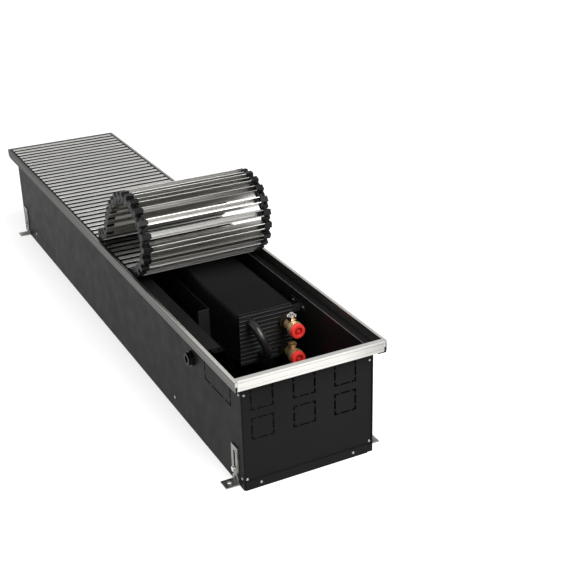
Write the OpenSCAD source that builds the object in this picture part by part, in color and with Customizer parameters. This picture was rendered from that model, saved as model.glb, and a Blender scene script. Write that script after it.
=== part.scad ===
// Trench convector heater. A steel trough that is sunk in the floor holds a finned water
// heat exchanger, and a roll-up grille of hinged aluminium slats lies in its edge frame.
// The near end, at -Y, holds the water and cable connections, and there the grille is
// rolled back. Z is up, and the origin is at the middle of the trough's underside.

/* [Trough] */
// Outer length over the edge frame
trench_l = 1234; // [1000:1:3000]
// Outer width over the edge frame
trench_w = 250; // [240:1:400]
// Height from the trough's underside to the top of the grille
trench_h = 196; // [185:1:300]
// Distance from the frame's outer face to the trough's walls
wall_inset = 15; // [13:0.5:20]
// Thickness of the trough's sheet
sheet_t = 1.5; // [1:0.1:2]
// Width of the edges that the long walls return behind the end plates
return_w = 16; // [14:0.5:18]
// Width of the ledge along the left wall, under the slats' left ends
ledge_w = 23.5; // [22:0.5:28]
// Height of the ledge's inner lip
ledge_lip_h = 7; // [4:0.5:9]
// Distance from the near edge of the frame to the near end of the ledge
ledge_near_y = 137; // [100:1:180]
// Distance from the near edge of the frame to the seam in the ledge
ledge_seam_y = 268; // [200:1:400]

/* [End plates] */
// Distance between the far side of an end plate and the wall's outer face
plate_step = 10; // [6:0.5:12]
// Height of the stepped strip at the foot of an end plate
strip_h = 15.4; // [12:0.1:20]
// Width of a pipe knock-out
knock_w = 38; // [25:1:42]
// Height of a pipe knock-out
knock_h = 37; // [25:1:40]
// Distance between two columns of knock-outs
knock_pitch = 69; // [55:1:75]
// Depth of the upper row of knock-outs below the underside of the grille
knock_drop = 8.7; // [6:0.1:20]
// Space between the two rows of knock-outs
knock_gap = 12; // [6:1:14]
// Width of the slots that outline a knock-out
knock_slot = 3; // [0.8:0.1:4]

/* [Frame] */
// Height of the frame's outer face
face_h = 16; // [12:0.5:17]
// Thickness of the frame profiles
frame_t = 2; // [1.5:0.1:3]
// Width of the lip on top of the side bars
side_lip = 5; // [3:0.5:6]
// Width of the lip on top of the end bars
end_lip = 9; // [6:0.5:12]
// Depth of the recess at the foot of the profiles
frame_recess = 1.2; // [0.8:0.1:1.4]

/* [Grille] */
// Distance between two slats
slat_pitch = 20; // [18:0.5:24]
// Width of a slat
slat_w = 11; // [8:0.5:12]
// Height of a slat
slat_h = 18; // [17:0.5:22]
// Thickness of a slat's top web
slat_web = 2.2; // [1.5:0.1:2.6]
// Thickness of a slat's legs
slat_leg = 1.4; // [1:0.1:2]
// Distance between a slat's end and the frame's outer face
slat_inset = 8; // [7.8:0.1:10]
// Space between the end bars and the first and last slat
end_gap = 2.5; // [1:0.1:4]
// Width of a hinge link across the trough
link_w = 14; // [12:0.5:16]
// Length of a link's block along the trough
link_l = 10; // [8:0.5:10.5]
// Depth of the hinge line below the top of the slats
hinge_depth = 7; // [6.6:0.1:9]
// Radius of a link's knuckles
knuckle_r = 4; // [3:0.1:4.3]
// Radius of a link's hinge pin
pin_r = 1.5; // [1:0.1:2]
// Width of each of the two ears of a link
ear_w = 4; // [3:0.1:4.4]

/* [Heat exchanger] */
// Distance from the frame's near edge to the finned pack
pack_y = 240; // [230:1:400]
// Space between the pack's far end and the frame's far edge
pack_far = 70; // [62:1:200]
// Width of the finned pack
pack_w = 96; // [90:1:110]
// Height of the finned pack
pack_h = 93; // [88:1:95]
// Distance between the frame's outer face and the pack's right side
pack_side = 36; // [32:0.5:45]
// Depth of the pack's top below the underside of the grille
pack_drop = 10.7; // [8.5:0.1:20]
// Distance between two fins
fin_pitch = 8; // [5:0.5:12]
// Thickness of a fin
fin_t = 0.5; // [0.3:0.1:0.8]
// Outer radius of the water tubes
tube_r = 7.5; // [6:0.1:8]
// Wall of the water tubes
tube_t = 1; // [0.6:0.1:1.5]

/* [Water connections] */
// Radius of a protective plug's cap
plug_r = 13.5; // [11:0.1:14]
// Length of a protective plug's cap
plug_l = 7; // [5:0.5:12]
// Distance from the frame's near edge to the plugs
plug_y = 188; // [150:1:189]
// Radius of the bore in a fitting's mouth
mouth_r = 9.5; // [8:0.1:10]
// Width across flats of the air vent
vent_af = 15; // [12:0.5:17]

/* [Feet] */
// Width of a foot
foot_w = 21; // [16:0.5:24]
// Distance from the frame's end face to the middle of a foot
foot_y = 42; // [38:0.5:80]
// Height of a foot's upright
foot_h = 65; // [60:0.5:80]
// Reach of a foot's base beyond the wall
foot_reach = 22; // [20:0.5:30]
// Thickness of a foot's sheet
foot_t = 2; // [1.5:0.1:2.5]
// Width of a foot's slot
foot_slot = 6; // [5.5:0.1:7]
// Travel of a foot along its bolt
foot_travel = 29; // [15:0.5:30]

/* [Hidden] */
moving_slats = 22;
$fn = 32;

black = [0.17, 0.17, 0.18];
silver = [0.78, 0.78, 0.77];
plastic = [0.08, 0.08, 0.08];
steel = [0.62, 0.62, 0.58];
brass = [0.80, 0.62, 0.32];
copper = [0.72, 0.42, 0.28];

// Clearances and overrun
over = 1;           // overrun of every cut
seat_gap = 0.3;     // between the slats and what they lie on, and under loose pieces
side_gap = 0.5;     // beside a link's tongue
pin_gap = 0.08;     // between a hinge pin and its bore
shank_gap = 0.2;    // between a screw's shank and its hole
spigot_gap = 0.1;   // between a protective plug and its fitting
fit_gap = 0.05;     // around a part that is pushed into another

// Main faces
end_y = trench_l / 2;
side_x = trench_w / 2;
wall_x = side_x - wall_inset;
inner_x = wall_x - sheet_t;
plate_y = end_y - wall_inset;
inner_y = plate_y - sheet_t;
near_y = -end_y;
frame_drop = slat_h + seat_gap;
ledge_z = trench_h - frame_drop;

// Repeats what follows on the other side or at the other end
module both_sides() {
    children();
    mirror([1, 0, 0]) children();
}
module both_ends() {
    children();
    mirror([0, 1, 0]) children();
}
module four_corners() {
    both_ends() both_sides() children();
}
// Turns an outline drawn in Y and Z into a bar of length w across the trough
module across(w) {
    rotate([90, 0, 90]) linear_extrude(w, center = true) children();
}
// Turns an outline drawn in X and Z into a bar of length l along the trough
module along(l) {
    rotate([90, 0, 0]) linear_extrude(l, center = true) children();
}
// A cylinder along X or along Y that starts at the place where it is put
module rod_x(r, l) {
    rotate([0, 90, 0]) cylinder(r = r, h = l);
}
module rod_y(r, l) {
    rotate([-90, 0, 0]) cylinder(r = r, h = l);
}
module hexagon(af) {
    circle(r = af / 2 / cos(30), $fn = 6);
}

// Trough. It is folded from one sheet, and each flat of that sheet is a part of its own:
// the floor, the long walls, the narrow folds along the walls' tops and the floor's ends,
// and the edges that the walls return behind the end plates.
rim_w = wall_inset - frame_recess;
floor_return_h = strip_h - 2 * sheet_t;
cable_knock_l = 95;
cable_knock_h = 50;
cable_knock_y = 97;
gland_y = 195;
gland_drop = 39.7;
gland_z = ledge_z - gland_drop;
gland_hole_r = 10;
bolt_r = 2.5;
bolt_z = 25;

// The outline of a knock-out, w by h, with two bridges left in every side
bridge_share = 0.07;
module knock_outline(w, h) {
    difference() {
        square([w, h], center = true);
        square([w - 2 * knock_slot, h - 2 * knock_slot], center = true);
        for (s = [-1, 1]) {
            translate([s * w / 4, 0]) square([w * bridge_share, h + over], center = true);
            translate([0, s * h / 4]) square([w + over, h * bridge_share], center = true);
        }
    }
}
module trough_shell() {
    color(black) along(2 * plate_y) translate([-wall_x, 0]) square([2 * wall_x, sheet_t]);
}
module trough_walls() {
    color(black) difference() {
        both_sides() along(2 * plate_y) translate([-wall_x, sheet_t])
            square([sheet_t, ledge_z - sheet_t]);
        four_corners() translate([-wall_x - over, foot_y - end_y, bolt_z])
            rod_x(bolt_r + shank_gap, sheet_t + 2 * over);
        translate([-wall_x - over, near_y + gland_y, gland_z])
            rod_x(gland_hole_r + shank_gap, sheet_t + 2 * over);
        translate([-wall_x - over, near_y + cable_knock_y, ledge_z - sheet_t - cable_knock_h / 2])
            rotate([90, 0, 90]) linear_extrude(sheet_t + 2 * over)
                knock_outline(cable_knock_l, cable_knock_h);
        for (z = corner_screws_z) four_corners()
            translate([-wall_x - over, screw_edge - end_y, z])
                rod_x(screw_r + shank_gap, sheet_t + 2 * over);
        for (y = ear_screws_y) for (y = [pack_near + y, pack_end - y])
            translate([inner_x - over, y, ear_screw_z])
                rod_x(wall_screw_r + shank_gap, sheet_t + 2 * over);
        for (y = saddles_y) both_sides() translate([-wall_x - over, y, saddle_screw_z])
            rod_x(wall_screw_r + shank_gap, sheet_t + 2 * over);
    }
}
module trough_folds() {
    color(black) {
        both_sides() along(2 * (end_y - frame_recess))
            translate([-side_x + frame_recess, ledge_z - sheet_t]) square([rim_w, sheet_t]);
        difference() {
            both_ends() translate([-inner_x, -plate_y, sheet_t])
                cube([2 * inner_x, sheet_t, floor_return_h - sheet_t]);
            for (turn = [0, 180], x = strip_screws) rotate([0, 0, turn])
                translate([x, -plate_y - over, strip_screw_z])
                    rod_y(strip_hole_r, sheet_t + 2 * over);
        }
    }
}
module trough_returns() {
    color(black) four_corners() difference() {
        translate([-inner_x, -inner_y, sheet_t])
            cube([return_w - sheet_t, sheet_t, ledge_z - sheet_t]);
        for (z = corner_screws_z) translate([-corner_screw_x, -inner_y - over, z])
            rod_y(screw_r + shank_gap, sheet_t + 2 * over);
    }
}

// End plate, drawn at the near end. It leaves a step on the right where the wall's
// returned edge shows.
knock_columns = [-1, 0, 1];
plate_edge = 2;
plate_left = -wall_x + plate_edge;
plate_right = wall_x - plate_step;
plate_mid = (plate_left + plate_right) / 2;
knock_shift = 3.6;
knock_mid = plate_mid - knock_shift;
knock_z = ledge_z - knock_drop - 2 * knock_h - knock_gap;
keyhole_w = 3;
keyhole_h = 4;
strip_screw_z = 8;
module plate_section() {
    translate([-plate_y, strip_h - sheet_t]) square([sheet_t, ledge_z - strip_h + sheet_t]);
    translate([-end_y + frame_recess, ledge_z - sheet_t]) square([rim_w, sheet_t]);
    translate([-plate_y - sheet_t, strip_h - sheet_t]) square([2 * sheet_t, sheet_t]);
    translate([-plate_y - sheet_t, 0]) square([sheet_t, strip_h]);
}
module end_plate() {
    color(black) difference() {
        translate([plate_mid, 0, 0]) across(plate_right - plate_left) plate_section();
        for (c = knock_columns, row = [0, 1])
            translate([knock_mid + c * knock_pitch, -inner_y + over,
                       knock_z + knock_h / 2 + row * (knock_h + knock_gap)])
                rotate([90, 0, 0]) linear_extrude(sheet_t + 2 * over)
                    knock_outline(knock_w, knock_h);
        for (x = strip_screws) translate([x, -plate_y + over, strip_screw_z]) {
            rotate([180, 0, 0]) rod_y(strip_hole_r, sheet_t + 2 * over);
            translate([-keyhole_w / 2, -sheet_t - 2 * over, -keyhole_h])
                cube([keyhole_w, sheet_t + 2 * over, keyhole_h]);
        }
        for (z = corner_screws_z) translate([-corner_screw_x, -inner_y + over, z])
            rotate([180, 0, 0]) rod_y(screw_r + shank_gap, sheet_t + 2 * over);
    }
}
module end_plate_near() {
    end_plate();
}
module end_plate_far() {
    rotate([0, 0, 180]) end_plate();
}

// Screws with domed pan heads. A screw is drawn along +Y, its head towards -Y.
screw_r = 1.4;
screw_head_r = 2.6;
screw_head_h = 1.6;
screw_l = 6;
screw_edge = 21;
corner_screw_inset = 5.5;
corner_screw_x = wall_x - corner_screw_inset;
corner_screw_rise = 0.5;
corner_screw_drop = 16.7;
corner_screws_z = [strip_h + screw_head_r + corner_screw_rise, ledge_z - corner_screw_drop];
strip_hole_r = screw_r + shank_gap;
strip_screw_pitch = 157;
strip_screws = [plate_mid - strip_screw_pitch / 2, plate_mid + strip_screw_pitch / 2];
module pan_screw(r, head_r, head_h, l) {
    rotate([-90, 0, 0]) rotate_extrude() {
        square([r, l]);
        intersection() {
            translate([0, -head_h]) square([head_r, head_h]);
            translate([0, head_r - head_h]) circle(r = head_r);
        }
    }
}
module end_screws() {
    for (z = corner_screws_z) {
        translate([-corner_screw_x, -plate_y, z])
            pan_screw(screw_r, screw_head_r, screw_head_h, screw_l);
        translate([corner_screw_x, -inner_y, z])
            pan_screw(screw_r, screw_head_r, screw_head_h, screw_l);
        for (s = [0, 1]) mirror([s, 0, 0]) translate([-wall_x, screw_edge - end_y, z])
            rotate([0, 0, -90]) pan_screw(screw_r, screw_head_r, screw_head_h, screw_l);
    }
    for (x = strip_screws) translate([x, -plate_y - sheet_t, strip_screw_z])
        pan_screw(screw_r, screw_head_r, screw_head_h, screw_l);
}
module end_plate_screws() {
    color(steel) {
        end_screws();
        rotate([0, 0, 180]) end_screws();
    }
}

// Ledge along the left wall, in two lengths
ledge_wall_h = 12;
seam_gap = 0.6;
module ledge_section() {
    translate([-inner_x, ledge_z - sheet_t]) square([ledge_w, sheet_t]);
    translate([-inner_x, ledge_z - ledge_wall_h]) square([sheet_t, ledge_wall_h]);
    translate([ledge_w - inner_x - sheet_t, ledge_z - ledge_lip_h]) square([sheet_t, ledge_lip_h]);
}
module ledge_left() {
    first = near_y + ledge_near_y;
    last = inner_y - sheet_t - seat_gap;
    seam = near_y + ledge_seam_y;
    color(black) {
        translate([0, (first + seam) / 2, 0]) along(seam - first - seam_gap) ledge_section();
        translate([0, (seam + last) / 2, 0]) along(last - seam - seam_gap) ledge_section();
    }
}

// Edge frame. The profile is drawn with its outer face at 0 and its inside towards +X.
groove_w = 0.8;
groove_d = 0.4;
groove_shares = [0.25, 0.78];
key_l = 18;
key_t = 1.6;
key_h = 9;
module frame_profile(lip) {
    difference() {
        union() {
            translate([0, -face_h]) square([frame_t, face_h]);
            translate([0, -frame_t]) square([lip, frame_t]);
            translate([frame_recess, -frame_drop]) square([frame_t - frame_recess, frame_drop]);
        }
        for (s = groove_shares) translate([0, -s * face_h])
            square([2 * groove_d, groove_w], center = true);
    }
}
module side_bar() {
    color(silver) translate([-side_x, 0, trench_h]) along(trench_l) frame_profile(side_lip);
}
module end_bar() {
    color(silver) translate([0, near_y, trench_h])
        across(trench_w - 2 * side_lip) frame_profile(end_lip);
}
module frame_bar_left() {
    side_bar();
}
module frame_bar_right() {
    mirror([1, 0, 0]) side_bar();
}
module frame_bar_near() {
    end_bar();
}
module frame_bar_far() {
    mirror([0, 1, 0]) end_bar();
}
module frame_corner_keys() {
    color(steel) four_corners()
        translate([-side_x + frame_t, near_y + frame_t, trench_h - frame_t - key_h]) {
            cube([key_l, key_t, key_h]);
            cube([key_t, key_l, key_h]);
        }
}

// Feet. A foot is drawn at the near left corner. It slides on its bolt, which stands at
// the lower end of the slot.
foot_x = -wall_x - seat_gap;
slot_r = foot_slot / 2;
waist_w = 12;
waist_z = 22;
tab_r = 10.5;
tab_z = 4.5;
tab_hole_r = 3;
tab_hole_z = 9;
base_hole_r = 3.5;
base_ring_r = 6;
base_ring_h = 0.8;
module foot_upright() {
    difference() {
        union() {
            translate([-foot_w / 2, waist_z]) square([foot_w, foot_h - waist_z]);
            translate([-waist_w / 2, 0]) square([waist_w, foot_h]);
            translate([-foot_w / 2, 0]) square([foot_w, tab_z]);
            intersection() {
                translate([0, tab_z]) circle(r = tab_r);
                translate([-foot_w / 2, 0]) square([foot_w, foot_h]);
            }
        }
        translate([-slot_r, bolt_z]) square([foot_slot, foot_travel]);
        for (z = [bolt_z, bolt_z + foot_travel]) translate([0, z]) circle(r = slot_r);
        translate([0, tab_hole_z]) circle(r = tab_hole_r);
    }
}
module foot_base() {
    base_mid = foot_x - (foot_reach + foot_t) / 2;
    difference() {
        union() {
            translate([foot_x - foot_reach, -foot_w / 2, 0])
                cube([foot_reach, foot_w, foot_t]);
            translate([base_mid, 0, foot_t]) cylinder(r = base_ring_r, h = base_ring_h);
        }
        translate([base_mid, 0, -over])
            cylinder(r = base_hole_r, h = foot_t + base_ring_h + 2 * over);
    }
}
module foot() {
    color(steel) translate([0, foot_y - end_y, 0]) {
        translate([foot_x - foot_t, 0, 0]) rotate([90, 0, 90]) linear_extrude(foot_t)
            foot_upright();
        foot_base();
    }
}
module foot_near_left() {
    foot();
}
module foot_near_right() {
    mirror([1, 0, 0]) foot();
}
module foot_far_left() {
    mirror([0, 1, 0]) foot();
}
module foot_far_right() {
    mirror([0, 1, 0]) mirror([1, 0, 0]) foot();
}
washer_r = 5;
washer_t = 1;
bolt_head_r = 4.2;
bolt_head_h = 2.8;
bolt_nut_af = 8;
bolt_nut_h = 4;
module foot_bolts() {
    head_x = foot_x - foot_t - seat_gap;
    color(steel) four_corners() translate([0, foot_y - end_y, bolt_z]) {
        translate([head_x - washer_t - bolt_head_h, 0, 0]) rod_x(bolt_head_r, bolt_head_h);
        translate([head_x - washer_t, 0, 0]) rod_x(washer_r, washer_t);
        translate([head_x, 0, 0]) rod_x(bolt_r, -inner_x + bolt_nut_h - head_x);
        translate([-inner_x, 0, 0]) rotate([0, 90, 0]) linear_extrude(bolt_nut_h)
            hexagon(bolt_nut_af);
    }
}

// Grille. A slat is drawn about its middle, its top face at 0.
slat_half = side_x - slat_inset;
link_x = slat_half - link_w;
first_y = near_y + end_lip + end_gap + slat_w / 2;
rounding_share = 0.001;
slat_count = 1 + floor(rounding_share + (trench_l - 2 * (end_lip + end_gap) - slat_w) / slat_pitch);
tab_l = 4;
tab_h = 10;
ear_x = [link_x + fit_gap, slat_half - ear_w];
tongue_x = link_x + ear_w + side_gap;
tongue_w = link_w - 2 * (ear_w + side_gap);
module slat_bar() {
    web_end = slat_half - link_x;
    color(silver) {
        across(2 * link_x) difference() {
            translate([-slat_w / 2, -slat_h]) square([slat_w, slat_h]);
            translate([-slat_w / 2 + slat_leg, -slat_h - over])
                square([slat_w - 2 * slat_leg, slat_h + over - slat_web]);
        }
        both_sides() translate([link_x, -slat_w / 2, -slat_web])
            cube([web_end, slat_w, slat_web]);
    }
}
// One knuckle that reaches from the link's block to the hinge line on the +Y side
module knuckle(x, w) {
    translate([x, slat_pitch / 2, -hinge_depth]) rod_x(knuckle_r, w);
    translate([x, link_l / 2 - seat_gap, -hinge_depth - knuckle_r])
        cube([w, (slat_pitch - link_l) / 2 + seat_gap, 2 * knuckle_r]);
}
module link(fork, tongue) {
    tab_w = slat_w - 2 * (slat_leg + fit_gap);
    color(plastic) {
        translate([link_x + fit_gap, -link_l / 2, -slat_h])
            cube([link_w - fit_gap, link_l, slat_h - slat_web - fit_gap]);
        translate([link_x - tab_l, -tab_w / 2, -slat_web - fit_gap - tab_h])
            cube([tab_l + seat_gap, tab_w, tab_h]);
        if (fork) {
            for (x = ear_x) knuckle(x, ear_w);
            translate([link_x + ear_w / 2, slat_pitch / 2, -hinge_depth])
                rod_x(pin_r, link_w - ear_w);
        }
        if (tongue) difference() {
            mirror([0, 1, 0]) knuckle(tongue_x, tongue_w);
            translate([tongue_x - over, -slat_pitch / 2, -hinge_depth])
                rod_x(pin_r + pin_gap, tongue_w + 2 * over);
        }
    }
}
module grille_slats() {
    for (i = [moving_slats:slat_count - 1]) translate([0, first_y + i * slat_pitch, trench_h])
        slat_bar();
}
module grille_links() {
    for (i = [moving_slats:slat_count - 1]) translate([0, first_y + i * slat_pitch, trench_h])
        both_sides() link(i < slat_count - 1, true);
}

// Roll. Each hinge turns the chain by its own angle. The turns go from the fold to the
// tip in stretches of [hinges, turn]. The turn of the slope is worked out so that the last
// slat lies upside down on the flat slats.
roll_angles = [[1, 21.5], [2, 7], [1, 8], [4, 21], [2, 17.5], [3, 13.5], [1, 7]];
slope_hinges = 5;
settle_hinges = 3;
steepest_angle = 12;
search_steps = 40;
function spread(stretches) = [for (s = stretches) for (i = [1:s[0]]) s[1]];
function total(v, i = 0) = i < len(v) ? v[i] + total(v, i + 1) : 0;
function turns(slope) =
    let (rise = spread(roll_angles),
         excess = total(rise) + slope * slope_hinges - 180)
    concat(rise,
           [for (i = [1:slope_hinges]) slope],
           [for (i = [1:settle_hinges]) -excess / settle_hinges]);
function headings(t, i = 0, a = 0) =
    i < len(t) ? concat([a + t[i]], headings(t, i + 1, a + t[i])) : [];
function hinge_line(h, p, i = 0) =
    i == len(h) ? [p]
                : concat([p], hinge_line(h, p + slat_pitch * [0, -cos(h[i]), sin(h[i])], i + 1));
fold = [0, first_y + (moving_slats - 0.5) * slat_pitch, trench_h - hinge_depth];
rest_z = trench_h + hinge_depth + seat_gap;
function tip_z(slope) = hinge_line(headings(turns(slope)), fold)[moving_slats].z;
function solve(lo, hi, n) =
    let (mid = (lo + hi) / 2)
    n == 0 ? mid : tip_z(mid) > rest_z ? solve(mid, hi, n - 1) : solve(lo, mid, n - 1);
roll_headings = headings(turns(solve(0, steepest_angle, search_steps)));
hinges = hinge_line(roll_headings, fold);
module rolled_slat(k) {
    translate(hinges[k - 1]) rotate([-roll_headings[k - 1], 0, 0])
        translate([0, -slat_pitch / 2, hinge_depth]) {
            slat_bar();
            both_sides() link(true, k < moving_slats);
        }
}

// Heat exchanger. The tubes' places are [x, z] shares of the pack, from its left foot.
pack_z = ledge_z - pack_drop - pack_h;
pack_right = side_x - pack_side;
pack_left = pack_right - pack_w;
pack_near = near_y + pack_y;
pack_end = end_y - pack_far;
pack_l = pack_end - pack_near;
tube_shares = [[0.854, 0.699], [0.208, 0.817], [0.406, 0.172], [0.854, 0.161]];
tubes = [for (s = tube_shares) [pack_left + s[0] * pack_w, pack_z + s[1] * pack_h]];
collar_t = 0.6;
cap_t = 1;
stub_l = 4;
module at_tube(i, y) {
    translate([tubes[i][0], y, tubes[i][1]]) children();
}
module tube_piece(r_out, r_in, l) {
    rotate([-90, 0, 0]) difference() {
        cylinder(r = r_out, h = l);
        translate([0, 0, -over]) cylinder(r = r_in, h = l + 2 * over);
    }
}
module exchanger_fins() {
    fins = floor((pack_l - 2 * cap_t) / fin_pitch);
    first = pack_near + (pack_l - fins * fin_pitch) / 2;
    color(black) difference() {
        union() {
            for (i = [0:fins]) translate([pack_left, first + i * fin_pitch - fin_t / 2, pack_z])
                cube([pack_w, fin_t, pack_h]);
            for (i = [0:3]) at_tube(i, first) rod_y(tube_r + collar_t, fins * fin_pitch);
        }
        for (i = [0:3]) at_tube(i, pack_near - over)
            rod_y(tube_r + fit_gap, pack_l + 2 * over);
    }
}
module exchanger_tubes() {
    // The bends start where these tubes end
    color(copper) for (i = [0:3])
        at_tube(i, pack_near - stub_l) tube_piece(tube_r, tube_r - tube_t, pack_l + 2 * stub_l);
}
// A bend from tube a to tube b that bulges by the turn's radius away from the pack
module return_bend(a, b, y, way) {
    d = tubes[b] - tubes[a];
    span = norm(d);
    mid = (tubes[a] + tubes[b]) / 2;
    color(copper) translate([mid[0], y, mid[1]]) rotate([0, -atan2(d[1], d[0]), 0])
        rotate([0, 0, way > 0 ? 0 : 180]) rotate_extrude(angle = 180)
            translate([span / 2, 0]) difference() {
                circle(r = tube_r);
                circle(r = tube_r - tube_t);
            }
}
module return_bend_near() {
    return_bend(1, 2, pack_near - stub_l, -1);
}
module return_bends_far() {
    return_bend(0, 1, pack_end + stub_l, 1);
    return_bend(2, 3, pack_end + stub_l, 1);
}

// Ribbed plates at both ends of the pack, with an ear that is screwed to the right wall
rib_pitch = 7.5;
rib_r = 1.2;
ear_h = 14;
ear_l = 36;
ear_back = 12;
ear_drop = 4;
ear_screws_y = [-6, 28];
ear_screw_z = pack_z + pack_h - ear_drop - ear_h / 2;
wall_screw_r = 2;
wall_screw_head_r = 3.4;
wall_screw_head_h = 2;
wall_screw_l = 5;
module end_cap() {
    ribs = floor(pack_h / rib_pitch) - 1;
    margin = (pack_h - ribs * rib_pitch) / 2;
    difference() {
        union() {
            translate([pack_left, -cap_t, pack_z]) cube([pack_w, cap_t, pack_h]);
            for (i = [0:ribs]) translate([pack_left, -cap_t, pack_z + margin + i * rib_pitch])
                rod_x(rib_r, pack_w);
            translate([pack_right - over, -cap_t, pack_z + pack_h - ear_drop - ear_h])
                cube([inner_x - pack_right + over, cap_t, ear_h]);
            translate([inner_x - cap_t, -ear_back, pack_z + pack_h - ear_drop - ear_h])
                cube([cap_t, ear_back + ear_l, ear_h]);
        }
        for (i = [0:3]) translate([tubes[i][0], -over - cap_t - rib_r, tubes[i][1]])
            rod_y(tube_r + shank_gap, cap_t + 2 * (rib_r + over));
        for (y = ear_screws_y) translate([inner_x - cap_t - over, y, ear_screw_z])
            rod_x(wall_screw_r + shank_gap, cap_t + 2 * over);
    }
}
module exchanger_end_plates() {
    color(black) {
        translate([0, pack_near, 0]) end_cap();
        translate([0, pack_end, 0]) mirror([0, 1, 0]) end_cap();
    }
}
// Saddles across the trough that carry the pack. They are screwed to the long walls.
saddle_w = 30;
saddle_t = 1.5;
saddle_ear_h = 36;
saddle_from_pack = 43;
saddle_screw_z = 23;
saddles_y = [pack_near + saddle_from_pack, pack_end - saddle_from_pack];
module saddle_section() {
    translate([-inner_x, sheet_t]) square([2 * inner_x, saddle_t]);
    for (x = [-inner_x, inner_x - saddle_t]) translate([x, sheet_t])
        square([saddle_t, saddle_ear_h]);
    for (x = [pack_left, pack_right - saddle_t]) translate([x, sheet_t])
        square([saddle_t, pack_z - sheet_t]);
    translate([pack_left, pack_z - saddle_t]) square([pack_w, saddle_t]);
}
module exchanger_saddles() {
    color(steel) for (y = saddles_y) translate([0, y, 0]) difference() {
        along(saddle_w) saddle_section();
        both_sides() translate([-inner_x - over, 0, saddle_screw_z])
            rod_x(wall_screw_r + shank_gap, saddle_t + 2 * over);
    }
}
module wall_screw() {
    pan_screw(wall_screw_r, wall_screw_head_r, wall_screw_head_h, wall_screw_l);
}
module wall_screws() {
    color(steel) {
        for (y = ear_screws_y) for (y = [pack_near + y, pack_end - y])
            translate([inner_x - cap_t, y, ear_screw_z]) rotate([0, 0, -90]) wall_screw();
        for (y = saddles_y) both_sides() translate([-wall_x, y, saddle_screw_z])
            rotate([0, 0, -90]) wall_screw();
    }
}

// Sheet beside the pack that makes the warm air shaft, with a flange at its near end
baffle_gap = 26;
baffle_y = 300;
baffle_t = 1;
baffle_drop = 7;
baffle_bend_h = 32;
baffle_foot_h = 2;
baffle_flange = 20;
baffle_top = pack_z + pack_h - baffle_drop;
baffle_bend = pack_z + baffle_bend_h;
baffle_foot = pack_z + baffle_foot_h;
module baffle_line(w) {
    x = pack_left - baffle_gap;
    polygon([[x, baffle_top], [x - w, baffle_top], [x - w, baffle_bend - w / 2],
             [pack_left - w, baffle_foot - baffle_t], [pack_left, baffle_foot - baffle_t],
             [x, baffle_bend]]);
}
module air_baffle() {
    y = near_y + baffle_y;
    color(black) {
        translate([0, (y + pack_end) / 2, 0]) along(pack_end - y) baffle_line(baffle_t);
        translate([0, y + baffle_t / 2, 0]) along(baffle_t) baffle_line(baffle_flange);
    }
}

// Water fittings: a collar at the pack, a waist and a mouth that takes the plug
mouth_y = plug_y + plug_l;
fit_collar_r = 12;
fit_collar_l = 6;
fit_mouth_r = 13;
fit_mouth_l = 8;
mouth_depth = 11;
mouth_wall = 2;
boss_r = 6;
boss_h = 13.5;
fit_l = pack_y - mouth_y - stub_l;
fit_stem_r = 9;
boss_y = near_y + mouth_y + mouth_depth + boss_r;
module fitting(i) {
    color(brass) at_tube(i, near_y + mouth_y) difference() {
        union() {
            rod_y(fit_mouth_r, fit_mouth_l);
            rod_y(mouth_r + mouth_wall, mouth_depth + mouth_wall);
            rod_y(fit_stem_r, fit_l);
            translate([0, fit_l - fit_collar_l, 0]) rod_y(fit_collar_r, fit_collar_l);
            translate([0, boss_y - near_y - mouth_y, 0]) cylinder(r = boss_r, h = boss_h);
        }
        translate([0, -over, 0]) rod_y(mouth_r, mouth_depth + over);
        translate([0, -over, 0]) rod_y(tube_r - tube_t, fit_l + 2 * over);
        translate([0, boss_y - near_y - mouth_y, 0])
            cylinder(r = vent_thread_r, h = boss_h + over);
    }
}
module fitting_upper() {
    fitting(0);
}
module fitting_lower() {
    fitting(3);
}
plug_wall = 1.6;
plug_face_share = 0.6;
plug_dish = 1.5;
spigot_l = 9;
module plug(i) {
    color("red") at_tube(i, near_y + plug_y) difference() {
        union() {
            rod_y(plug_r, plug_l - seat_gap);
            rod_y(mouth_r - spigot_gap, plug_l + spigot_l);
        }
        translate([0, -over, 0]) difference() {
            rod_y(plug_r * plug_face_share, plug_dish + over);
            rod_y(plug_r * plug_face_share / 2, plug_dish + over);
        }
        translate([0, plug_l, 0]) rod_y(mouth_r - spigot_gap - plug_wall, spigot_l + over);
    }
}
module plug_upper() {
    plug(0);
}
module plug_lower() {
    plug(3);
}

// Air vent on the upper fitting, and its bleed screw with a slot
vent_thread_r = 4;
vent_hex_h = 6;
vent_neck_r = 5.5;
vent_neck_h = 2;
vent_screw_r = 2.5;
vent_screw_gap = 0.06;
vent_screw_l = 6;
vent_head_r = 3.2;
vent_head_h = 2.5;
vent_slot_w = 0.8;
vent_slot_d = 1;
thread_l = 5;
module on_boss(i) {
    translate([tubes[i][0], boss_y, tubes[i][1] + boss_h]) children();
}
module vent_body() {
    color(silver) on_boss(0) difference() {
        union() {
            translate([0, 0, -thread_l]) cylinder(r = vent_thread_r, h = thread_l);
            linear_extrude(vent_hex_h) hexagon(vent_af);
            cylinder(r = vent_neck_r, h = vent_hex_h + vent_neck_h);
        }
        translate([0, 0, vent_hex_h + vent_neck_h - vent_screw_l - vent_slot_d])
            cylinder(r = vent_screw_r + vent_screw_gap, h = vent_screw_l + over + vent_slot_d);
    }
}
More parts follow.
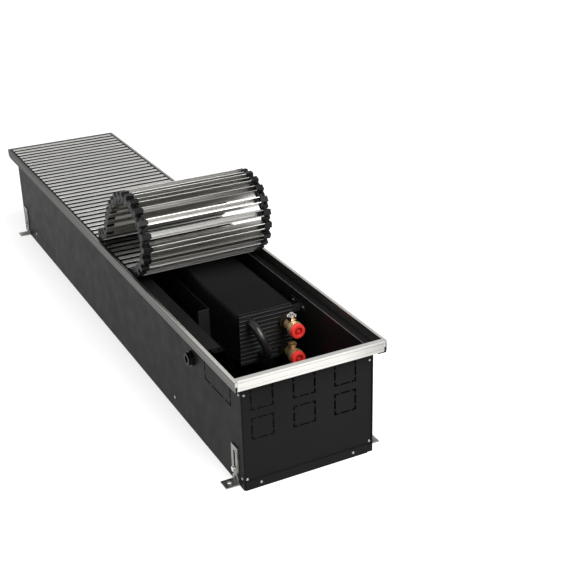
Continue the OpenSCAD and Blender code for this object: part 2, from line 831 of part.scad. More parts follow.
module vent_screw() {
    color(silver) on_boss(0) translate([0, 0, vent_hex_h + vent_neck_h]) difference() {
        union() {
            translate([0, 0, -vent_screw_l])
                cylinder(r = vent_screw_r, h = vent_screw_l + seat_gap);
            translate([0, 0, seat_gap]) cylinder(r = vent_head_r, h = vent_head_h);
        }
        translate([-vent_head_r - over, -vent_slot_w / 2, seat_gap + vent_head_h - vent_slot_d])
            cube([2 * (vent_head_r + over), vent_slot_w, vent_slot_d + over]);
    }
}
// Brass plug on the lower fitting, with a broad head on a narrow neck
drain_neck_r = 4.5;
drain_neck_h = 2.5;
drain_head_r = 7.3;
drain_head_h = 3;
drain_key_af = 6;
drain_key_d = 2;
module drain_plug() {
    color(brass) on_boss(3) difference() {
        union() {
            translate([0, 0, -thread_l]) cylinder(r = vent_thread_r, h = thread_l + drain_neck_h);
            cylinder(r = drain_neck_r, h = drain_neck_h);
            translate([0, 0, drain_neck_h]) cylinder(r = drain_head_r, h = drain_head_h);
        }
        translate([0, 0, drain_neck_h + drain_head_h - drain_key_d])
            linear_extrude(drain_key_d + over) hexagon(drain_key_af);
    }
}

// Cable gland in the left wall, with its lock nut inside the trough. The seal grips the
// cable in the dome, and the threaded stub behind it is wider.
gland_af = 24;
gland_hex_h = 4;
gland_dome_r = 10.5;
gland_dome_h = 9;
gland_mouth_r = 6;
gland_stub_r = 7.5;
gland_seal_h = 1;
gland_thread_l = 9;
gland_nut_h = 5;
module cable_gland_body() {
    color(plastic) translate([-wall_x, near_y + gland_y, gland_z]) rotate([0, -90, 0])
        difference() {
            union() {
                linear_extrude(gland_hex_h) hexagon(gland_af);
                intersection() {
                    cylinder(r = gland_dome_r, h = gland_dome_h);
                    sphere(r = gland_dome_r + gland_thread_l / 2, $fn = 48);
                }
                translate([0, 0, -sheet_t - gland_thread_l])
                    cylinder(r = gland_hole_r, h = sheet_t + gland_thread_l + seat_gap);
            }
            cylinder(r = gland_mouth_r, h = gland_dome_h + over);
            translate([0, 0, -sheet_t - gland_thread_l - over])
                cylinder(r = gland_stub_r, h = sheet_t + gland_thread_l + over + gland_seal_h);
        }
}
module cable_gland_nut() {
    color(plastic) translate([-inner_x, near_y + gland_y, gland_z]) rotate([0, 90, 0])
        linear_extrude(gland_nut_h) difference() {
            hexagon(gland_af);
            circle(r = gland_hole_r + pin_gap);
        }
}

trough_shell();
trough_walls();
trough_folds();
trough_returns();
end_plate_near();
end_plate_far();
ledge_left();
end_plate_screws();
wall_screws();
frame_bar_left();
frame_bar_right();
frame_bar_near();
frame_bar_far();
frame_corner_keys();
foot_near_left();
foot_near_right();
foot_far_left();
foot_far_right();
foot_bolts();
grille_slats();
grille_links();
exchanger_fins();
exchanger_tubes();
exchanger_end_plates();
return_bend_near();
return_bends_far();
exchanger_saddles();
air_baffle();
fitting_upper();
fitting_lower();
plug_upper();
plug_lower();
vent_body();
vent_screw();
drain_plug();
cable_gland_body();
cable_gland_nut();
rolled_slat(1);  // slat_01
rolled_slat(2);  // slat_02
rolled_slat(3);  // slat_03
rolled_slat(4);  // slat_04
rolled_slat(5);  // slat_05
rolled_slat(6);  // slat_06
rolled_slat(7);  // slat_07
rolled_slat(8);  // slat_08
rolled_slat(9);  // slat_09
rolled_slat(10);  // slat_10
rolled_slat(11);  // slat_11
rolled_slat(12);  // slat_12
rolled_slat(13);  // slat_13
rolled_slat(14);  // slat_14
rolled_slat(15);  // slat_15
rolled_slat(16);  // slat_16
rolled_slat(17);  // slat_17
rolled_slat(18);  // slat_18
rolled_slat(19);  // slat_19
rolled_slat(20);  // slat_20
rolled_slat(21);  // slat_21
rolled_slat(22);  // slat_22
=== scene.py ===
import math

import bmesh
import bpy
from mathutils import Matrix, Vector


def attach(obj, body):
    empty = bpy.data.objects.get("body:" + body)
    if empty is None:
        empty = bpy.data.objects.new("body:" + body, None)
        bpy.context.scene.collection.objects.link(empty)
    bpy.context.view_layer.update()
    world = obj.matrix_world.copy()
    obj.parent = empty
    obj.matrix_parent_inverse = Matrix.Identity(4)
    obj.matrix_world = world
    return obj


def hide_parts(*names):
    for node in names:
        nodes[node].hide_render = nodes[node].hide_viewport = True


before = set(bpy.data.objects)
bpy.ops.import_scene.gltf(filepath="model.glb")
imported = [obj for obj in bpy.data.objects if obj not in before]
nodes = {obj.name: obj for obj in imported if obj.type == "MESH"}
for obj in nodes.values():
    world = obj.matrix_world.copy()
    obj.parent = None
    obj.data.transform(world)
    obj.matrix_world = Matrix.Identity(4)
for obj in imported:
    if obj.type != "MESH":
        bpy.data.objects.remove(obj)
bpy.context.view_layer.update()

scene = bpy.context.scene
scene.view_settings.view_transform = "Standard"

# Camera. It looks at the near end of the heater from the left and from above, with a
# medium long lens, so that the whole trough runs from the lower right to the upper left.
camera_data = bpy.data.cameras.new("camera")
camera_data.lens = 69.4
camera_data.sensor_width = 36
camera_data.clip_end = 100
camera = bpy.data.objects.new("camera", camera_data)
scene.collection.objects.link(camera)
scene.camera = camera
eye = Vector((-0.6530, -1.8352, 0.9526))
ahead = Vector((0.4073, 0.8119, -0.4183)).normalized()
right = Vector((0.8885, -0.4583, -0.0244)).normalized()
right = (right - ahead * right.dot(ahead)).normalized()
up = right.cross(ahead)
camera.matrix_world = Matrix.Translation(eye) @ Matrix((right, up, -ahead)).transposed().to_4x4()

# Studio. A white floor that runs on behind the heater, a white sky that is dimmer overhead,
# a large soft lamp high above the near right corner and a weak one in front. Floor and sky
# look white to the camera and in mirrors alone, and the floor keeps the heater's shadow.
MM = 0.001
FLOOR_HALF = 20
FLOOR_DROP = 0.3 * MM
FLOOR_GREY = 0.6
FLOOR_LIFT = 0.68
floor_mesh = bpy.data.meshes.new("floor")
bm = bmesh.new()
bmesh.ops.create_grid(bm, x_segments=1, y_segments=1, size=FLOOR_HALF)
bm.to_mesh(floor_mesh)
bm.free()
floor = bpy.data.objects.new("floor", floor_mesh)
floor.location.z = -FLOOR_DROP
scene.collection.objects.link(floor)
floor_paint = bpy.data.materials.new("floor_paint")
floor_paint.use_nodes = True
floor_shader = floor_paint.node_tree.nodes["Principled BSDF"]
floor_shader.inputs["Base Color"].default_value = (FLOOR_GREY, FLOOR_GREY, FLOOR_GREY, 1)
floor_shader.inputs["Roughness"].default_value = 0.9
floor_shader.inputs["Specular IOR Level"].default_value = 0.1
floor_mesh.materials.append(floor_paint)


def seen_directly(tree):
    """1 on rays from the camera, from mirrors and through glass, and 0 on all others."""
    path = tree.nodes.new("ShaderNodeLightPath")
    seen = path.outputs["Is Camera Ray"]
    for other in ("Is Glossy Ray", "Is Transmission Ray"):
        either = tree.nodes.new("ShaderNodeMath")
        either.operation = "MAXIMUM"
        tree.links.new(seen, either.inputs[0])
        tree.links.new(path.outputs[other], either.inputs[1])
        seen = either.outputs[0]
    return seen


def lift(tree, low, high):
    """A strength of high where it is seen directly, and of low as light."""
    made = tree.nodes.new("ShaderNodeMapRange")
    made.inputs["To Min"].default_value = low
    made.inputs["To Max"].default_value = high
    tree.links.new(seen_directly(tree), made.inputs["Value"])
    return made.outputs["Result"]


floor_shader.inputs["Emission Color"].default_value = (1, 1, 1, 1)
floor_paint.node_tree.links.new(lift(floor_paint.node_tree, 0, FLOOR_LIFT),
                                floor_shader.inputs["Emission Strength"])

SKY_LIGHT = 0.8
SKY_OVERHEAD = 0.3
FADE_START, FADE_END = 0.3, 0.9      # heights, from 0 at the horizon to 1 overhead
world = bpy.data.worlds.new("sky")
world.use_nodes = True
sky_tree = world.node_tree
sky = sky_tree.nodes["Background"]
sky_tree.links.new(lift(sky_tree, SKY_LIGHT, 1), sky.inputs["Strength"])
direction = sky_tree.nodes.new("ShaderNodeSeparateXYZ")
sky_tree.links.new(sky_tree.nodes.new("ShaderNodeTexCoord").outputs["Generated"],
                   direction.inputs[0])
fade = sky_tree.nodes.new("ShaderNodeMapRange")
fade.interpolation_type = "SMOOTHSTEP"
fade.inputs["From Min"].default_value = FADE_START
fade.inputs["From Max"].default_value = FADE_END
fade.inputs["To Min"].default_value = 1
fade.inputs["To Max"].default_value = SKY_OVERHEAD
sky_tree.links.new(direction.outputs["Z"], fade.inputs["Value"])
sky_tree.links.new(fade.outputs["Result"], sky.inputs["Color"])
scene.world = world

HEATER_MIDDLE = Vector((0, 0, 0.1))


def soft_lamp(name, place, size, power):
    """A square area lamp that is aimed at the middle of the heater."""
    data = bpy.data.lights.new(name, "AREA")
    data.energy = power
    data.size = size
    lamp = bpy.data.objects.new(name, data)
    lamp.location = place
    lamp.rotation_euler = (HEATER_MIDDLE - Vector(place)).to_track_quat("-Z", "Y").to_euler()
    scene.collection.objects.link(lamp)


soft_lamp("key_lamp", place=(0.9, -2.9, 4.2), size=3.0, power=190)
soft_lamp("front_lamp", place=(0.1, -2.6, 2.0), size=1.2, power=18)

# Trough, end plates and ledge. They are folded from zinc-coated sheet steel and powder
# coated in satin black, which leaves a fine pebbled skin. The long folds under the frame
# are rounder than the others, and their pale glossy coat is a painted highlight.
USUAL_NOISE = (0.3, 0.7)      # most of a noise's values lie between these


class Finish:
    """A material that is built up from procedural nodes on Object coordinates."""

    def __init__(self, name, **sockets):
        self.material = bpy.data.materials.new(name)
        self.material.use_nodes = True
        self.tree = self.material.node_tree
        self.shader = self.tree.nodes["Principled BSDF"]
        self.place = self.node("ShaderNodeTexCoord").outputs["Object"]
        for socket, value in sockets.items():
            self.shader.inputs[socket.replace("_", " ")].default_value = value

    def node(self, kind, **settings):
        made = self.tree.nodes.new(kind)
        for key, value in settings.items():
            setattr(made, key, value)
        return made

    def link(self, a, b):
        self.tree.links.new(a, b)

    def noise(self, scale, detail=3.0):
        """Noise with that many patches in a metre, along all axes or along each."""
        mapping = self.node("ShaderNodeMapping")
        mapping.inputs["Scale"].default_value = scale if isinstance(scale, tuple) else (scale,) * 3
        self.link(self.place, mapping.inputs["Vector"])
        made = self.node("ShaderNodeTexNoise")
        made.inputs["Scale"].default_value = 1
        made.inputs["Detail"].default_value = detail
        made.inputs["Roughness"].default_value = 0.55
        self.link(mapping.outputs["Vector"], made.inputs["Vector"])
        return made.outputs["Fac"]

    def along(self, axis, low, high):
        """0 to 1 from low to high along an axis of the Object coordinates."""
        split = self.node("ShaderNodeSeparateXYZ")
        self.link(self.place, split.inputs[0])
        made = self.node("ShaderNodeMapRange")
        made.inputs["From Min"].default_value = low
        made.inputs["From Max"].default_value = high
        self.link(split.outputs[axis], made.inputs["Value"])
        return made.outputs["Result"]

    def ramp(self, value, *stops):
        """A colour or a value from stops of (position, colour)."""
        made = self.node("ShaderNodeValToRGB")
        elements = made.color_ramp.elements
        for i, (position, colour) in enumerate(stops):
            element = elements[i] if i < 2 else elements.new(position)
            element.position = position
            element.color = (*colour, 1)
        self.link(value, made.inputs["Fac"])
        return made.outputs["Color"]

    def colour(self, value, *stops):
        self.link(self.ramp(value, *stops), self.shader.inputs["Base Color"])

    def tint(self, tone):
        """Multiplies the colour by a tone."""
        base = self.shader.inputs["Base Color"]
        made = self.node("ShaderNodeVectorMath", operation="MULTIPLY")
        self.link(base.links[0].from_socket, made.inputs[0])
        self.link(tone, made.inputs[1])
        self.link(made.outputs["Vector"], base)

    def roughness(self, value, smooth, rough):
        made = self.node("ShaderNodeMapRange")
        made.inputs["From Min"].default_value = USUAL_NOISE[0]
        made.inputs["From Max"].default_value = USUAL_NOISE[1]
        made.inputs["To Min"].default_value = smooth
        made.inputs["To Max"].default_value = rough
        self.link(value, made.inputs["Value"])
        self.link(made.outputs["Result"], self.shader.inputs["Roughness"])

    def bump(self, value, depth, strength):
        """A bump of that depth in metres."""
        made = self.node("ShaderNodeBump")
        made.inputs["Distance"].default_value = depth
        made.inputs["Strength"].default_value = strength
        self.link(value, made.inputs["Height"])
        self.link(made.outputs["Normal"], self.shader.inputs["Normal"])


def grey(value):
    return (value, value, value)


def powder_coat(name, dark, pale, shine, smooth, rough):
    """A pebbled coat whose grey and gloss vary a little from place to place."""
    coat = Finish(name, Specular_IOR_Level=shine)
    coat.colour(coat.noise(5, 2), (0.35, grey(dark)), (0.7, grey(pale)))
    coat.roughness(coat.noise(40), smooth, rough)
    coat.bump(coat.noise(900, 2), 0.12 * MM, 0.5)
    return coat.material


def paint(piece, material):
    """Gives a CAD node its finish."""
    piece.data.materials.clear()
    piece.data.materials.append(material)


MERGE_WITHIN = 0.002 * MM
SOFTENED_ANGLE = math.radians(40)
ROUNDED_ANGLE = math.radians(35)
FLAT_ANGLE = math.radians(1)


def soften(piece, width):
    """Rounds the sharp edges of a CAD node with modifiers, so that they catch the light."""
    weld = piece.modifiers.new("weld", "WELD")
    weld.merge_threshold = MERGE_WITHIN
    bevel = piece.modifiers.new("soften", "BEVEL")
    bevel.width = width
    bevel.segments = 2
    bevel.limit_method = "ANGLE"
    bevel.angle_limit = SOFTENED_ANGLE


def merged(node):
    """A bmesh of a node's mesh with its doubles merged."""
    bm = bmesh.new()
    bm.from_mesh(nodes[node].data)
    bmesh.ops.remove_doubles(bm, verts=bm.verts, dist=MERGE_WITHIN)
    return bm


def fused(parts):
    """The meshes of some nodes as one bmesh, joined where their faces touch."""
    copies = []
    for part in parts:
        mesh = bpy.data.meshes.new("copy")
        bm = merged(part)
        bm.to_mesh(mesh)
        bm.free()
        copies.append(bpy.data.objects.new("copy", mesh))
        scene.collection.objects.link(copies[-1])
    for other in copies[1:]:
        join = copies[0].modifiers.new("join", "BOOLEAN")
        join.operation = "UNION"
        join.solver = "EXACT"
        join.object = other
    bpy.context.view_layer.update()
    bm = bmesh.new()
    bm.from_object(copies[0], bpy.context.evaluated_depsgraph_get())
    for copy in copies:
        mesh = copy.data
        bpy.data.objects.remove(copy)
        bpy.data.meshes.remove(mesh)
    return bm


def flatten(bm):
    """Merges doubles and dissolves the edges inside flat faces."""
    bmesh.ops.remove_doubles(bm, verts=bm.verts, dist=MERGE_WITHIN)
    bmesh.ops.dissolve_limit(bm, angle_limit=FLAT_ANGLE, verts=bm.verts, edges=bm.edges)


def round_edges(bm, width, segments=1, where=lambda edge: True, clamp=True):
    """Rounds the sharp edges that where() accepts and returns the new faces."""
    sharp = [e for e in bm.edges if len(e.link_faces) == 2
             and e.calc_face_angle() > ROUNDED_ANGLE and where(e)]
    return bmesh.ops.bevel(bm, geom=sharp, offset=width, segments=segments, profile=0.5,
                           affect="EDGES", clamp_overlap=clamp, material=-1)["faces"]


def finished_piece(name, bm, materials, body, slot, *replaced):
    """The bmesh as an object on its body, in the place of the replaced nodes."""
    bmesh.ops.recalc_face_normals(bm, faces=bm.faces)
    mesh = bpy.data.meshes.new(name)
    bm.to_mesh(mesh)
    bm.free()
    for material in materials:
        mesh.materials.append(material)
    piece = bpy.data.objects.new(name, mesh)
    scene.collection.objects.link(piece)
    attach(piece, body)
    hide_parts(*replaced)
    return piece


black_coat = powder_coat("black_powder_coat", dark=0.0095, pale=0.0120, shine=0.05,
                         smooth=0.42, rough=0.50)
# The pale coat of the long folds is a painted highlight.
fold_highlight_coat = powder_coat("fold_painted_highlight_coat", dark=0.28, pale=0.36, shine=0.9,
                        smooth=0.24, rough=0.32)
TROUGH_FLATS = ("trough_shell", "trough_walls", "trough_folds", "trough_returns")
SHEET_EDGE = 0.35 * MM
FOLD_RADIUS = 1.8 * MM
FOLD_SEGMENTS = 4
FOLD_X = 108.5 * MM
FOLD_Z_MIN = 170 * MM
FOLD_LENGTH_MIN = 100 * MM
TOLERANCE = 0.1 * MM


def is_fold(edge):
    """The long edges of the trough where its rims turn outward, on the inside."""
    a, b = (v.co for v in edge.verts)
    return all(abs(abs(p.x) - FOLD_X) < TOLERANCE and p.z > FOLD_Z_MIN for p in (a, b)) \
        and abs(a.y - b.y) > FOLD_LENGTH_MIN


trough = fused(TROUGH_FLATS)
flatten(trough)
# The rounded long folds get the pale coat, a painted highlight.
for face in round_edges(trough, FOLD_RADIUS, FOLD_SEGMENTS, is_fold, clamp=False):
    face.material_index = 1
round_edges(trough, SHEET_EDGE)
finished_piece("trough_finished", trough, (black_coat, fold_highlight_coat), "housing", "black_coat",
               *TROUGH_FLATS)
for name in ("end_plate_near", "end_plate_far", "ledge_left"):
    paint(nodes[name], black_coat)
    soften(nodes[name], SHEET_EDGE)

# Screws. Dull zinc-plated steel with domed pan heads, driven through the sheet. They hold
# the end plates, the saddles under the heat exchanger and the ears of its end plates.


def zinc_plate(name, tone):
    """Zinc plating, slightly yellow where it is pale."""
    zinc = Finish(name, Metallic=1.0)
    zinc.colour(zinc.noise(220), (0.3, grey(tone * 0.8)), (0.7, (tone * 1.05, tone * 1.03, tone)))
    zinc.roughness(zinc.noise(400), smooth=0.22, rough=0.36)
    zinc.bump(zinc.noise(2500, 2), 0.04 * MM, 0.4)
    return zinc.material


dull_zinc = zinc_plate("dull_zinc", 0.3)
for name in ("end_plate_screws", "wall_screws"):
    paint(nodes[name], dull_zinc)

# Edge frame. Four extruded aluminium bars with two fine grooves along the outer face,
# brushed along their length and anodised in natural silver. Zinc-plated keys join them
# inside the corners. Painted shade darkens their colour toward the far end, and a painted
# highlight brightens the near part of the left lip.
PROFILE_EDGE = 0.3 * MM
HALF_LENGTH = 620 * MM
HALF_WIDTH = 125 * MM
LIP_Z = 195.7 * MM
LIP_BLEND = 0.2 * MM
X, Y, Z = 0, 1, 2
MIX_FACTOR, MIX_A, MIX_B, MIX_RESULT = 0, 6, 7, 2      # sockets of a Mix node for colours


def grained(axis, lengthwise, across):
    """Patches in a metre for a grain that runs along an axis."""
    return tuple(lengthwise if other == axis else across for other in (X, Y, Z))


def anodised(name, grain, dark, pale, edge_tint=1.0):
    """Brushed and anodised aluminium. A low edge_tint dulls it at grazing angles."""
    metal = Finish(name, Metallic=1.0, Specular_Tint=(*grey(edge_tint), 1))
    metal.colour(metal.noise(grained(grain, 1.5, 160), 5), (0.3, dark), (0.7, pale))
    metal.roughness(metal.noise(grained(grain, 6, 700), 2), smooth=0.26, rough=0.40)
    metal.bump(metal.noise(grained(grain, 6, 700), 3), 0.05 * MM, 0.35)
    return metal


def profile_finish(name, grain, axis, reach, side, lip, dark=(0.80, 0.785, 0.75),
                   pale=(0.95, 0.935, 0.90), edge_tint=0.65):
    """Anodised metal, with a row of painted light and shade tones for the sides of a bar
    and one for its top lip.

    A row holds (place, tone), where place goes from 0 to 1 along the axis."""
    metal = anodised(name, grain, dark, pale, edge_tint)
    place = metal.along(axis, -reach, reach)
    both = metal.node("ShaderNodeMix", data_type="RGBA")
    metal.link(metal.along(Z, LIP_Z - LIP_BLEND, LIP_Z), both.inputs[MIX_FACTOR])
    for socket, tones in ((MIX_A, side), (MIX_B, lip)):
        metal.link(metal.ramp(place, *((at, grey(tone)) for at, tone in tones)),
                   both.inputs[socket])
    metal.tint(both.outputs[MIX_RESULT])
    return metal.material


# Painted light and shade along each bar, as rows of (place, tone): darker toward the far end, with
# a painted highlight on the near part of the left lip. The far bar takes the dark end of the left
# rows, so it is painted in shade all along.
LEFT_SIDE_PAINTED_SHADE = ((0, 0.22), (0.27, 0.20), (0.5, 0.15), (0.8, 0.10), (1, 0.07))
LEFT_LIP_PAINTED_LIGHT = ((0, 1), (0.21, 1), (0.28, 0.26), (0.45, 0.28), (0.6, 0.22), (0.75, 0.13), (1, 0.09))
RIGHT_SIDE_PAINTED_SHADE = ((0, 0.5), (1, 0.3))
RIGHT_LIP_PAINTED_SHADE = ((0, 0.78), (1, 0.42))
NEAR_SIDE_PAINTED_SHADE = ((0, 0.92), (0.3, 1), (0.7, 1), (1, 0.58))
NEAR_LIP_PAINTED_SHADE = ((0, 1), (1, 0.9))
frame_silver = {
    "left": profile_finish("anodised_frame_left", Y, Y, HALF_LENGTH, LEFT_SIDE_PAINTED_SHADE, LEFT_LIP_PAINTED_LIGHT),
    "right": profile_finish("anodised_frame_right", Y, Y, HALF_LENGTH, RIGHT_SIDE_PAINTED_SHADE, RIGHT_LIP_PAINTED_SHADE),
    "near": profile_finish("anodised_frame_near", X, X, HALF_WIDTH, NEAR_SIDE_PAINTED_SHADE, NEAR_LIP_PAINTED_SHADE,
                           dark=(0.64, 0.63, 0.60), pale=(0.80, 0.79, 0.75), edge_tint=1.0),
    "far": profile_finish("anodised_frame_far", X, Y, HALF_LENGTH, LEFT_SIDE_PAINTED_SHADE, LEFT_LIP_PAINTED_LIGHT)}
for side, silver in frame_silver.items():
    paint(nodes["frame_bar_" + side], silver)
    soften(nodes["frame_bar_" + side], PROFILE_EDGE)
bright_zinc = zinc_plate("bright_zinc", 0.75)
paint(nodes["frame_corner_keys"], bright_zinc)

# Grille. Each slat is an anodised aluminium channel, open below, with a black plastic hinge
# link pushed into each of its ends. The slats of the roll turn on the pins of these links.
# On the slats that lie flat, the legs of the channels are painted near black as painted shade.
slat_silver = anodised("anodised_slat", X, dark=(0.40, 0.395, 0.38),
                       pale=(0.62, 0.61, 0.585)).material
# The near-black colour of the flat slats' legs is painted shade.
leg_painted_shade = anodised("slat_leg_painted_shade", X, dark=(0.014, 0.014, 0.013),
                      pale=(0.024, 0.024, 0.023), edge_tint=0.2).material


def moulded(name, dark, pale, smooth, rough, shine=0.2):
    """Moulded plastic with faint flow marks."""
    plastic = Finish(name, Specular_IOR_Level=shine)
    plastic.colour(plastic.noise(120), (0.35, dark), (0.7, pale))
    plastic.roughness(plastic.noise(300), smooth, rough)
    plastic.bump(plastic.noise(2600, 2), 0.05 * MM, 0.4)
    return plastic.material


black_plastic = moulded("black_plastic", dark=grey(0.004), pale=grey(0.009),
                        smooth=0.42, rough=0.56)
SLAT_EDGE = 0.25 * MM
LINK_EDGE = 0.3 * MM
END_COVER = 0.6 * MM
BAR_REACH_MIN = 100 * MM
LEG_FACING = 0.9


def solids(bm):
    """The separate solids of a bmesh, each as a list of its vertices."""
    seen = set()
    for start in bm.verts:
        if start in seen:
            continue
        solid = [start]
        seen.add(start)
        for vert in solid:
            for edge in vert.link_edges:
                other = edge.other_vert(vert)
                if other not in seen:
                    seen.add(other)
                    solid.append(other)
        yield solid


def bars_and_links(node):
    """A node's merged mesh, as one bmesh of its bars and one of its links."""
    both = []
    for wanted in ("bars", "links"):
        bm = merged(node)
        others = []
        for solid in solids(bm):
            reach = max(v.co.x for v in solid) - min(v.co.x for v in solid)
            if (reach > BAR_REACH_MIN) != (wanted == "bars"):
                others += solid
        bmesh.ops.delete(bm, geom=others, context="VERTS")
        flatten(bm)
        both.append(bm)
    return both


def cover_ends(bars, links):
    """Adds the thin flanges of the links that cover the cut ends of the bars."""
    reach = max(abs(v.co.x) for v in bars.verts)
    for face in bars.faces:
        middle = face.calc_center_median().x
        if abs(middle) > reach - TOLERANCE:
            out = Vector((math.copysign(END_COVER, middle), 0, 0))
            near = [links.verts.new(v.co) for v in face.verts]
            far = [links.verts.new(v.co + out) for v in face.verts]
            links.faces.new(near)
            links.faces.new(far)
            for i in range(len(near)):
                links.faces.new((near[i - 1], near[i], far[i], far[i - 1]))


def grille_part(name, body, bars, links, silver, *replaced):
    """A bar piece and a link piece on one body."""
    cover_ends(bars, links)
    round_edges(bars, SLAT_EDGE)
    round_edges(links, LINK_EDGE)
    finished_piece(name + "_bars", bars, silver, body, "anodised", *replaced)
    finished_piece(name + "_ends", links, (black_plastic,), body, "black_plastic", *replaced)


for node in sorted(name for name in nodes if name.startswith("slat_")):
    bars, links = bars_and_links(node)
    grille_part(node, node, bars, links, (slat_silver,), node)
bars, links = merged("grille_slats"), merged("grille_links")
flatten(bars)
flatten(links)
# The faces of the flat slats' legs get the painted shade.
for face in bars.faces:
    face.material_index = 1 if abs(face.normal.y) > LEG_FACING else 0
grille_part("grille_flat", "housing", bars, links, (slat_silver, leg_painted_shade),
            "grille_slats", "grille_links")

# Heat exchanger. A pack of thin aluminium fins on four copper tubes, dipped in black paint
# as a whole. It rests on two black coated saddles that are screwed to the trough's walls,
# and a folded sheet beside it makes the shaft for the warm air.
black_dip = powder_coat("black_dip_paint", dark=0.013, pale=0.020, shine=0.35,
                        smooth=0.38, rough=0.46)
bend_paint = powder_coat("black_bend_paint", dark=0.013, pale=0.020, shine=0.6,
                         smooth=0.26, rough=0.34)
for name in ("exchanger_fins", "exchanger_end_plates", "air_baffle"):
    paint(nodes[name], black_dip)
for name in ("exchanger_tubes", "return_bend_near", "return_bends_far"):
    paint(nodes[name], bend_paint)
paint(nodes["exchanger_saddles"], black_coat)
soften(nodes["air_baffle"], SHEET_EDGE)

# Water connections. Turned brass fittings on the flow and return pipes, black at the back
# where they were dipped with the pack. Red plastic plugs close them for transport, and they
# carry a nickel-plated air vent and a brass blanking plug, both screwed in.
DIP_FROM_VENT = 4 * MM
DIP_BLEND = 0.4 * MM
brass = Finish("turned_brass", Metallic=1.0)
brass.colour(brass.noise((40, 300, 40), 4), (0.3, (0.80, 0.56, 0.30)), (0.7, (0.92, 0.70, 0.42)))
brass.roughness(brass.noise((60, 900, 60)), smooth=0.48, rough=0.60)
brass.bump(brass.noise((60, 2200, 60), 2), 0.05 * MM, 0.3)
dip_y = max(v.co.y for v in nodes["vent_body"].data.vertices) + DIP_FROM_VENT
dipped = brass.along(Y, dip_y, dip_y + DIP_BLEND)
brass.tint(brass.ramp(dipped, (0, grey(1)), (1, grey(0.02))))
brass.link(brass.ramp(dipped, (0, grey(1)), (1, grey(0))), brass.shader.inputs["Metallic"])
for name in ("fitting_upper", "fitting_lower", "drain_plug"):
    paint(nodes[name], brass.material)
nickel = Finish("nickel_plate", Metallic=1.0)
nickel.colour(nickel.noise(160), (0.3, (0.60, 0.59, 0.56)), (0.7, (0.80, 0.79, 0.75)))
nickel.roughness(nickel.noise(420), smooth=0.14, rough=0.24)
nickel.bump(nickel.noise(2200, 2), 0.03 * MM, 0.3)
for name in ("vent_body", "vent_screw"):
    paint(nodes[name], nickel.material)
red_plastic = moulded("red_plastic", dark=(0.95, 0.045, 0.036), pale=(1.0, 0.060, 0.048),
                      smooth=0.30, rough=0.42, shine=0.5)
# The darker red of the sunken groove is painted shade.
red_groove_painted_shade = moulded("red_plastic_groove_painted_shade", dark=(0.55, 0.014, 0.012),
                     pale=(0.64, 0.020, 0.016), smooth=0.42, rough=0.5)
CAP_OUTLINE = ((0, 1.0), (3.0, 1.0), (3.4, 1.4), (3.6, 2.4), (6.2, 2.4), (6.7, 2.0), (6.9, 0.5),
               (7.4, 0.1), (11.2, 0), (11.9, 0.3), (12.3, 1.1))      # (radius, depth) in mm
CAP_RADIUS = 12.3 * MM
CAP_LENGTH = 6.7 * MM
CAP_CHAMFER = 0.5 * MM
SPIGOT_RADIUS = 9.3 * MM
SPIGOT_END = 15.8 * MM
TURNED_STEPS = 48
AXIS_MERGE = 0.01 * MM
GROOVE_INSIDE = 3 * MM
GROOVE_OUTSIDE = 7 * MM
GROOVE_DEPTH = 3 * MM
CROSS_ARM = (4.4 * MM, 0.9 * MM, 1.3 * MM)
CROSS_DEPTH = 1.2 * MM
CROSS_TURN = 0.4      # radians
CREASE_ANGLE = math.radians(35)


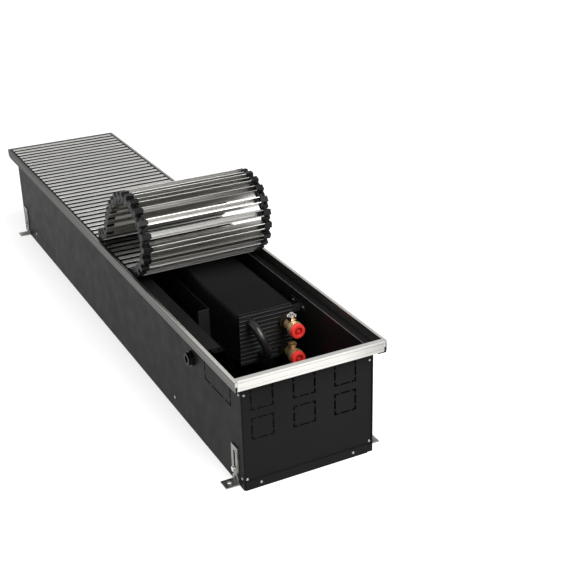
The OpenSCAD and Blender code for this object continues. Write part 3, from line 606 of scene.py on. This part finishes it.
def protective_plug(node):
    """A turned cap with a groove round a sunken boss, and a raised cross on the boss."""
    corners = [v.co for v in nodes[node].data.vertices]
    middle = (max(c.x for c in corners) + min(c.x for c in corners)) / 2
    height = (max(c.z for c in corners) + min(c.z for c in corners)) / 2
    front = min(c.y for c in corners)
    line = [(r * MM, y * MM) for r, y in CAP_OUTLINE]
    line += [(CAP_RADIUS, CAP_LENGTH - CAP_CHAMFER), (CAP_RADIUS - CAP_CHAMFER, CAP_LENGTH),
             (SPIGOT_RADIUS, CAP_LENGTH), (SPIGOT_RADIUS, SPIGOT_END), (0, SPIGOT_END)]
    bm = bmesh.new()
    verts = [bm.verts.new((r, y, 0)) for r, y in line]
    edges = [bm.edges.new(pair) for pair in zip(verts, verts[1:])]
    bmesh.ops.spin(bm, geom=verts + edges, cent=(0, 0, 0), axis=(0, 1, 0), dvec=(0, 0, 0),
                   angle=math.tau, steps=TURNED_STEPS, use_merge=True, use_duplicate=False)
    bmesh.ops.remove_doubles(bm, verts=bm.verts, dist=AXIS_MERGE)
    for turn in (CROSS_TURN, CROSS_TURN + math.pi / 2):
        arm = Matrix.Translation((0, CROSS_DEPTH, 0)) @ Matrix.Rotation(turn, 4, "Y") \
            @ Matrix.Diagonal((*CROSS_ARM, 1))
        bmesh.ops.create_cube(bm, size=1, matrix=arm)
    for face in bm.faces:
        face.smooth = True
        place = face.calc_center_median()
        ring = math.hypot(place.x, place.z)
        # The faces in the sunken groove get the darker red, a painted shade.
        if GROOVE_INSIDE < ring < GROOVE_OUTSIDE and place.y < GROOVE_DEPTH:
            face.material_index = 1
    bmesh.ops.translate(bm, vec=(middle, front, height), verts=bm.verts)
    piece = finished_piece(node + "_moulded", bm, (red_plastic, red_groove_painted_shade), node,
                           "red_plastic", node)
    crease = piece.modifiers.new("crease", "EDGE_SPLIT")
    crease.split_angle = CREASE_ANGLE


for name in ("plug_upper", "plug_lower"):
    protective_plug(name)

# Cable gland. Its body is moulded from black polyamide. It passes through a hole in the
# left wall, and a lock nut inside the trough holds it.
for name in ("cable_gland_body", "cable_gland_nut"):
    paint(nodes[name], black_plastic)

# Feet. Bent from galvanised strip, they hang on a zinc-plated bolt in a long slot at each
# corner and slide down on it to level the trough. Their bases are screwed to the floor.
galvanised = Finish("galvanised_steel", Metallic=1.0)
patches = galvanised.node("ShaderNodeTexVoronoi")
patches.inputs["Scale"].default_value = 130
galvanised.link(galvanised.place, patches.inputs["Vector"])
galvanised.colour(patches.outputs["Color"], (0, (0.24, 0.24, 0.23)), (1, (0.36, 0.355, 0.33)))
galvanised.roughness(galvanised.noise(90), smooth=0.34, rough=0.55)
galvanised.bump(galvanised.noise(700), 0.06 * MM, 0.4)
for name in ("foot_near_left", "foot_near_right", "foot_far_left", "foot_far_right"):
    paint(nodes[name], galvanised.material)
paint(nodes["foot_bolts"], bright_zinc)
